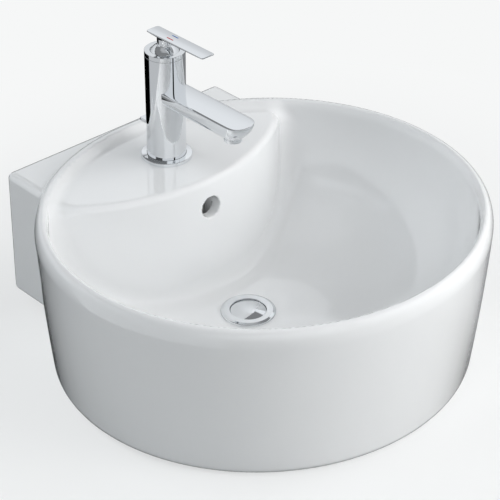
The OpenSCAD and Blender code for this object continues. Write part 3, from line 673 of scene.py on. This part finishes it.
class OBJECT_OT_basin_tap(bpy.types.Operator):
    """Casts the tap's column and spout, and turns the rings on it"""
    bl_idname = "object.basin_tap"
    bl_label = "Tap body"

    def execute(self, context):
        crown = in_mm(context.scene.basin_tap.spout_crown)
        chrome = finish_of("chrome")
        cx, cy, cz = TAP
        column = turned("tap_column", [
            (14, -6, 0), (16.8, -6, 0.6), (16.8, 0.6, 0), (22, 0.6, 0), (22, 1.5, 0),
            (22.6, 126.3, 0.15), (21.3, 126.3, 0)],
            TAP, chrome, 128)
        # The spout's top from its middle outwards, then its sides, by how far they lie below the top
        rows = []
        top = cz + SPOUT_TOP
        for share in (0.04, 0.3, 0.6, 0.85):
            rows.append([(cx + x * share, cy + y, top - crown * (x * share / SPOUT_HALF) ** 2)
                         for x, y in spout_loop(0.0, 0.4)])
        falls = [(0.0, 0.4), (0.08, 0.15), (0.2, 0.04), (0.4, 0.0), (1.5, 0.0)]
        falls += [(1.5 + 15.4 * k / 14, 0.0) for k in range(1, 15)]
        falls += [(17.25, 0.25), (17.45, 0.6), (17.5, 1.2)]
        for fall, inset in falls:
            left = crown * max(0.0, 1 - fall / 5)
            rows.append([(cx + x, cy + y, top - fall - left * (x / SPOUT_HALF) ** 2)
                         for x, y in spout_loop(fall, inset)])
        spout = swept("tap_spout", rows, chrome)
        piece = join("tap_casting", [column, spout])
        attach(piece, "basin")
        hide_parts("tap_body")
        ring = turned("tap_cap_ring", [
            (19.2, 126.5, 0), (21.3, 126.5, 0), (22.6, 126.5, 0.15), (22.62, 131.7, 0.35),
            (16.1, 131.7, 0.25), (16.9, 130.6, 0.3), (19.2, 127.4, 0), (19.2, 126.5, 0)],
            TAP, chrome, 128)
        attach(ring, "basin")
        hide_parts("cap_ring")
        flange = turned("tap_base_flange", [
            (22.1, 0.02, 0), (28.8, 0.02, 0.1), (28.8, 4.3, 0.8),
            (22.5, 4.75, 0.1), (22.35, 4.75, 0.05), (22.1, 3, 0)],
            TAP, chrome, 128)
        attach(flange, "basin")
        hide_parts("base_flange")
        aerator = turned("tap_aerator", [
            (8.2, 1.5, 0), (8.2, -6.0, 0.3), (8.9, -7.0, 0.3), (9.6, -7.0, 0.4), (10.0, -6.4, 0.3),
            (10.0, -3.3, 0.25), (9.7, -3.1, 0.1), (9.7, -2.8, 0.1), (10.0, -2.6, 0.25),
            (10.0, -0.02, 0.1), (8.4, -0.02, 0)],
            (0, cy - OUTLET, 247.5), chrome, 72)
        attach(aerator, "basin")
        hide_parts("aerator_housing")
        return {"FINISHED"}


class OBJECT_OT_basin_lever(bpy.types.Operator):
    """Forges the lever with its stem and dome, and lays in the hot and cold marks"""
    bl_idname = "object.basin_lever"
    bl_label = "Lever"

    def execute(self, context):
        crown = in_mm(context.scene.basin_tap.lever_crown)
        chrome = finish_of("chrome")
        cx, cy, cz = TAP
        half, front, back, thick = 9.0, -71.2, 20.8, 4.6

        def thickness(y):
            """The plate thins towards its back and its tip."""
            if y > -14:
                return thick - 2.0 * smooth_step(np.array((y - 4) / 14.0))
            return thick - 1.6 * ((-14 - y) / 58.0) ** 0.75

        def place(x, y, share):
            """A point at some share of the plate's thickness below its crowned top."""
            fall = crown * (x / half) ** 2
            return (cx + x, cy + y, cz + LEVER_TOP - fall - share * (float(thickness(y)) - fall))

        def plan(inset):
            """The plate's outline seen from above."""
            return outline(half, front, back, 3.0, inset, back_corner=3.5)

        rows = [[place(x * scale, y, 0.0) for x, y in plan(0.45)] for scale in (0.03, 0.35, 0.7)]
        for share, inset in ((0.0, 0.45), (0.03, 0.1), (0.1, 0.0), (0.34, 0.0), (0.4, 0.15), (0.47, 0.5),
                             (0.62, 1.4), (0.76, 2.4), (0.88, 3.5), (0.96, 4.5), (1.0, 5.6)):
            rows.append([place(x, y, share) for x, y in plan(inset)])
        plate = swept("lever_plate", rows, chrome, angle=40.0)
        # The stem, and below it the dome, a part of a sphere round the lever's own pivot
        pivot, ball, neck, skirt = 120, 19.6, 9.2, 124
        line = [(8.6, 146, 0), (8.4, 142, 0), (8.4, 137.9, 1.4)]
        start, low = math.acos(neck / ball), math.asin((skirt - pivot) / ball)
        for k in range(11):
            a = start + (low - start) * k / 10
            line.append((ball * math.cos(a), pivot + ball * math.sin(a), 0.6))
        dome = turned("lever_dome", [(17.4, skirt, 0)] + line[::-1], TAP, chrome, 96)
        piece = join("lever", [plate, dome])
        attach(piece, "lever")
        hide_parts("lever_handle")
        # Each mark fills its groove and stands a hair proud, in the shape of a short bar
        bar = [(-0.8, -4.75), (-0.6, -5.0), (0.6, -5.0), (0.8, -4.75),
               (0.8, 4.75), (0.6, 5.0), (-0.6, 5.0), (-0.8, 4.75)]
        for name, x, finish in (("hot_mark", -3.2, "red_enamel"), ("cold_mark", 4.2, "blue_enamel")):
            loops = []
            for height, grow in ((-0.25, -0.02), (0.0, 0.0), (0.02, -0.08), (0.03, -0.3)):
                loop = []
                for dx, dy in bar:
                    px = x + dx * (1 + grow)
                    top = cz + LEVER_TOP - crown * (px / half) ** 2
                    loop.append((cx + px, cy - 12.8 + dy * (1 + grow * 0.2), top + height))
                loops.append(loop)
            mark = swept(name + "_inlay", loops, finish_of(finish), angle=50.0)
            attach(mark, "lever")
            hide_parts(name)
        return {"FINISHED"}


class OBJECT_OT_basin_knob(bpy.types.Operator):
    """Shapes the flat knob of the pop-up rod"""
    bl_idname = "object.basin_knob"
    bl_label = "Lift knob"

    def execute(self, context):
        rear, top = 201, 209.5
        rows = []
        for fall, inset in ((0.0, 0.5), (0.08, 0.2), (0.35, 0.0), (3.6, 0.0), (3.9, 0.2), (4.0, 0.5)):
            rows.append([(x, rear - y, top - fall) for x, y in outline(4.5, 0.0, 31.0, 2.0, inset)])
        piece = swept("pop_up_knob", rows, finish_of("chrome"))
        piece.data.flip_normals()
        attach(piece, "rod")
        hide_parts("lift_knob")
        return {"FINISHED"}


class OBJECT_OT_basin_waste(bpy.types.Operator):
    """Turns the waste's body with its flange, and the plug"""
    bl_idname = "object.basin_waste"
    bl_label = "Waste"

    def execute(self, context):
        chrome = finish_of("chrome")
        centre = (0, China.waste_y, China.floor)
        body = turned("waste_throat", [
            (17.5, -113, 0), (17.5, -7, 2.0), (20.5, -3, 1.0), (20.6, 3.1, 0), (20.9, 3.45, 0.5),
            (27.6, 3.5, 0.8), (30.6, 2.5, 1.6), (31.25, 1.2, 0.8), (31.2, 0.03, 0.1), (20.95, 0.03, 0),
            (20.95, -114, 0.3), (17.5, -114, 0.3), (17.5, -113.0, 0)][::-1],
            centre, chrome, 96)
        port = turned("waste_port", [
            (4.6, 0, 0), (8.9, 0, 0.3), (9.0, 22, 0.3), (6.9, 22, 0.2), (6.8, 14, 0)],
            (0, 0, 0), chrome, 48)
        # The port is turned upright and laid to the rear, where the ball rod enters
        lay_back = Matrix.Rotation(math.radians(-90), 4, "X")
        port.data.transform(Matrix.Translation((0, 0.041, -0.055)) @ lay_back)
        piece = join("waste_fitting", [body, port])
        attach(piece, "basin")
        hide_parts("waste_body")
        dome = [(19.6 * k / 12, 2.0 + 1.9 * (1 - (k / 12) ** 2), 0.0 if k in (0, 12) else 9.0)
                for k in range(12, -1, -1)]
        plug = turned("waste_plug", [
            (4.05, 0.8, 0), (4.1, -0.5, 0), (19.1, -0.5, 0.3), (20.1, 0.4, 0.3), (20.1, 1.7, 0.4)] + dome,
            centre, chrome, 96)
        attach(plug, "plug")
        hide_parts("plug_cap")
        return {"FINISHED"}


class OBJECT_OT_basin_hidden(bpy.types.Operator):
    """Gives the hidden fittings, which keep their own shapes, their finishes"""
    bl_idname = "object.basin_hidden"
    bl_label = "Hidden fittings"

    def execute(self, context):
        slots = {row["node"]: row["material_slot"] for row in frame["record"]["subparts"]}
        for name, node in NODES.items():
            if node.hide_render:
                continue
            node.data.materials.clear()
            node.data.materials.append(finish_of(slots[name]))
        return {"FINISHED"}


class OBJECT_OT_basin_stage(bpy.types.Operator):
    """Lays the pale worktop, hangs the lights and sets the camera"""
    bl_idname = "object.basin_stage"
    bl_label = "Stage"

    # Soft boxes: azimuth from the front towards the right, elevation, power
    LAMPS = ((36, 14, 17.5), (72, 14, 7), (190, 14, 8.5), (22, 32, 12), (67, 32, 6.8), (202, 32, 6.7),
             (247, 32, 2.8), (292, 32, 7), (0, 60, 5.4), (60, 60, 5.3), (240, 60, 8.6), (300, 60, 2))
    # Panels and gaps of the tent: azimuth, half width, lowest, highest, softness, strength
    PANELS = ((262, 42, -37, -1, 2, 0.6), (60, 85, -37, -1, 2, 0.25), (4, 4, 20, 37, 1.5, -1.3),
              (137, 24, -10, 26.5, 2.5, -0.12), (137, 24, 26.5, 36, 2.5, 0.06), (0, 400, 66, 200, 6, 0.25))
    # The camera: azimuth, elevation and roll in degrees, and its place in metres
    AIM = (-43.211, 32.706, 0.444)
    PLACE = (-1.22299, -1.27903, 1.26147)

    def execute(self, context):
        settings = context.scene.basin_stage
        self.worktop(tuple(settings.backdrop))
        for around, above, power in self.LAMPS:
            self.lamp(around, above, power * settings.light)
        self.studio(context.scene, tuple(settings.backdrop))
        self.camera(context.scene, settings.view_angle)
        context.scene.view_settings.view_transform = "Standard"
        return {"FINISHED"}

    def worktop(self, back):
        """The pale worktop: painted board, matt, with the cut-out that lets the waste through."""
        count, rings, drop = 128, (205, 420, 900, 6000), 0.15
        points, faces = [], []
        for r in rings:
            for k in range(count):
                a = 2 * math.pi * k / count
                points.append((r * math.cos(a), r * math.sin(a) * (China.oval if r < 300 else 1), -drop))
        for i in range(len(rings) - 1):
            for k in range(count):
                j = (k + 1) % count
                near, far = i * count, (i + 1) * count
                faces.append((near + k, far + k, far + j, near + j))
        board = bpy.data.materials.new("matt_painted_board")
        board.use_nodes = True
        tree = board.node_tree
        tree.nodes.clear()
        out = add_node(tree, "ShaderNodeOutputMaterial")
        place = add_node(tree, "ShaderNodeTexCoord")
        # Away from the object the board takes the backdrop's colour, and near it keeps the shadow
        length = add_node(tree, "ShaderNodeVectorMath", links=[("Vector", place, "Object")],
                          operation="LENGTH")
        fade = add_node(tree, "ShaderNodeMapRange", {"From Min": 0.26, "From Max": 0.7, "To Min": 0.6},
                        [("Value", length, "Value")], interpolation_type="SMOOTHSTEP")
        path = add_node(tree, "ShaderNodeLightPath")
        share = add_node(tree, "ShaderNodeMath", links=[(0, path, "Is Camera Ray"), (1, fade, "Result")],
                         operation="MULTIPLY")
        matt = add_node(tree, "ShaderNodeBsdfDiffuse", {"Color": linear("#F3F4F4")})
        glow = add_node(tree, "ShaderNodeEmission", {"Color": back, "Strength": 1.0})
        mix = add_node(tree, "ShaderNodeMixShader", links=[("Fac", share, 0), (1, matt, 0), (2, glow, 0)])
        tree.links.new(mix.outputs[0], out.inputs["Surface"])
        floor = mesh_piece("worktop", points, faces, board)
        floor.visible_glossy = False

    def studio(self, scene, back):
        """The world: the backdrop as seen, no light on matt surfaces, and the tent in gloss."""
        world = bpy.data.worlds.new("studio")
        scene.world = world
        world.use_nodes = True
        tree = world.node_tree
        tree.nodes.clear()
        out = add_node(tree, "ShaderNodeOutputWorld")
        path = add_node(tree, "ShaderNodeLightPath")
        seen = add_node(tree, "ShaderNodeMath", operation="MAXIMUM",
                        links=[(0, path, "Is Camera Ray"), (1, path, "Is Transmission Ray")])
        wall = add_node(tree, "ShaderNodeBackground", {"Color": back, "Strength": 1.0})
        dark = add_node(tree, "ShaderNodeBackground", {"Color": linear("#FFFFFF"), "Strength": 0.0})
        tent = add_node(tree, "ShaderNodeBackground", {"Color": linear("#F4F7FA")})
        tree.links.new(self.tent(tree), tent.inputs["Strength"])
        mirrored = add_node(tree, "ShaderNodeMixShader",
                            links=[("Fac", path, "Is Glossy Ray"), (1, dark, 0), (2, tent, 0)])
        mix = add_node(tree, "ShaderNodeMixShader", links=[("Fac", seen, 0), (1, mirrored, 0), (2, wall, 0)])
        tree.links.new(mix.outputs[0], out.inputs["Surface"])

    def camera(self, scene, angle):
        """The camera, at the photograph's place."""
        cam = bpy.data.cameras.new("camera")
        view = bpy.data.objects.new("camera", cam)
        scene.collection.objects.link(view)
        az, el, roll = (math.radians(v) for v in self.AIM)
        ahead = Vector((-math.sin(az) * math.cos(el), math.cos(az) * math.cos(el), -math.sin(el)))
        right = Vector((math.cos(az), math.sin(az), 0))
        up = right.cross(ahead)
        across = math.cos(roll) * right + math.sin(roll) * up
        upward = -math.sin(roll) * right + math.cos(roll) * up
        turn = Matrix((across, upward, -ahead)).transposed().to_4x4()
        view.matrix_world = Matrix.Translation(self.PLACE) @ turn
        cam.sensor_fit = "HORIZONTAL"
        cam.sensor_width = 36
        cam.angle = angle
        cam.clip_start, cam.clip_end = 0.05, 30
        scene.camera = view

    def tent(self, tree):
        """The tent round the object as gloss shows it: how bright it is in each direction."""
        def calc(operation, *values):
            """One sum in nodes, of numbers and of other sums."""
            node = add_node(tree, "ShaderNodeMath", operation=operation)
            for i, value in enumerate(values):
                if isinstance(value, (int, float)):
                    node.inputs[i].default_value = value
                else:
                    tree.links.new(value, node.inputs[i])
            return node.outputs[0]

        def ramp(value, start, end, low=0.0, high=1.0, kind="SMOOTHSTEP"):
            """A soft step from low to high as the value goes from start to end."""
            node = add_node(tree, "ShaderNodeMapRange", interpolation_type=kind,
                            values={"From Min": start, "From Max": end, "To Min": low, "To Max": high})
            tree.links.new(value, node.inputs["Value"])
            return node.outputs[0]

        place = add_node(tree, "ShaderNodeTexCoord")
        x, y, z = add_node(tree, "ShaderNodeSeparateXYZ", links=[(0, place, "Generated")]).outputs
        above = calc("MULTIPLY", calc("ARCSINE", z), math.degrees(1))
        around = calc("MULTIPLY", calc("ARCTAN2", x, calc("MULTIPLY", y, -1.0)), math.degrees(1))
        total = calc("MULTIPLY", ramp(above, 0, 42, 0.65, 1.0, "LINEAR"), ramp(above, -2, 2))
        for middle, half, low, high, soft, strength in self.PANELS:
            off = calc("ABSOLUTE", calc("WRAP", calc("SUBTRACT", around, float(middle)), 180.0, -180.0))
            wide = ramp(off, half + soft, half - soft)
            tall = calc("MULTIPLY", ramp(above, low - soft, low + soft),
                        ramp(above, high + soft, high - soft))
            total = calc("MULTIPLY_ADD", calc("MULTIPLY", wide, tall), strength, total)
        # The open roof, a rectangle on the plane overhead
        rise = calc("MAXIMUM", z, 0.001)
        east, north = calc("DIVIDE", x, rise), calc("DIVIDE", y, rise)
        right = ramp(east, 0.97, 0.89)
        front = ramp(north, -1.06, -0.94)
        rear = ramp(calc("MULTIPLY_ADD", east, 0.46, calc("MULTIPLY", north, -1.0)), -1.72, -1.64)
        left = ramp(east, -3.9, -3.7)
        roof = calc("MULTIPLY", calc("MULTIPLY", right, rear), calc("MULTIPLY", left, front))
        total = calc("MULTIPLY_ADD", roof, -0.75, total)
        return calc("MAXIMUM", total, 0.0)

    def lamp(self, around, above, power):
        """A round soft box 2.2 m from the object, out of sight of gloss."""
        data = bpy.data.lights.new("soft_box", "AREA")
        data.shape = "DISK"
        data.size = 1.1
        data.energy = power
        data.color = linear("#FFFFFF" if around < 150 else "#F8FCFF")[:3]
        lamp = bpy.data.objects.new("soft_box", data)
        bpy.context.scene.collection.objects.link(lamp)
        a, e = math.radians(around), math.radians(above)
        way = Vector((math.sin(a) * math.cos(e), -math.cos(a) * math.cos(e), math.sin(e)))
        lamp.location = Vector((0, 0, 0.12)) + 2.2 * way
        lamp.rotation_mode = "QUATERNION"
        lamp.rotation_quaternion = way.to_track_quat("Z", "Y")
        lamp.visible_glossy = False


class VIEW3D_PT_basin(bpy.types.Panel):
    """The basin's settings and operators in the sidebar"""
    bl_label = "Countertop basin"
    bl_idname = "VIEW3D_PT_basin"
    bl_space_type = "VIEW_3D"
    bl_region_type = "UI"
    bl_category = "Basin"

    def draw(self, context):
        layout = self.layout
        for group in (context.scene.basin, context.scene.basin_tap, context.scene.basin_stage):
            for key in group.__annotations__:
                layout.prop(group, key)
        for operator in OPERATORS:
            layout.operator(operator.bl_idname)


OPERATORS = (
    OBJECT_OT_basin_china,
    OBJECT_OT_basin_tap,
    OBJECT_OT_basin_lever,
    OBJECT_OT_basin_knob,
    OBJECT_OT_basin_waste,
    OBJECT_OT_basin_hidden,
    OBJECT_OT_basin_stage,
)
CLASSES = (BasinSettings, TapSettings, StageSettings) + OPERATORS + (VIEW3D_PT_basin,)


def register():
    """Adds the classes and their settings to Blender."""
    for c in CLASSES:
        bpy.utils.register_class(c)
    bpy.types.Scene.basin = bpy.props.PointerProperty(type=BasinSettings)
    bpy.types.Scene.basin_tap = bpy.props.PointerProperty(type=TapSettings)
    bpy.types.Scene.basin_stage = bpy.props.PointerProperty(type=StageSettings)


def unregister():
    """Takes the settings and the classes out again."""
    del bpy.types.Scene.basin
    del bpy.types.Scene.basin_tap
    del bpy.types.Scene.basin_stage
    for c in reversed(CLASSES):
        bpy.utils.unregister_class(c)


def main():
    """Builds everything in order."""
    register()
    bpy.ops.object.basin_china()
    bpy.ops.object.basin_tap()
    bpy.ops.object.basin_lever()
    bpy.ops.object.basin_knob()
    bpy.ops.object.basin_waste()
    bpy.ops.object.basin_hidden()
    bpy.ops.object.basin_stage()


if __name__ == "__main__":
    main()
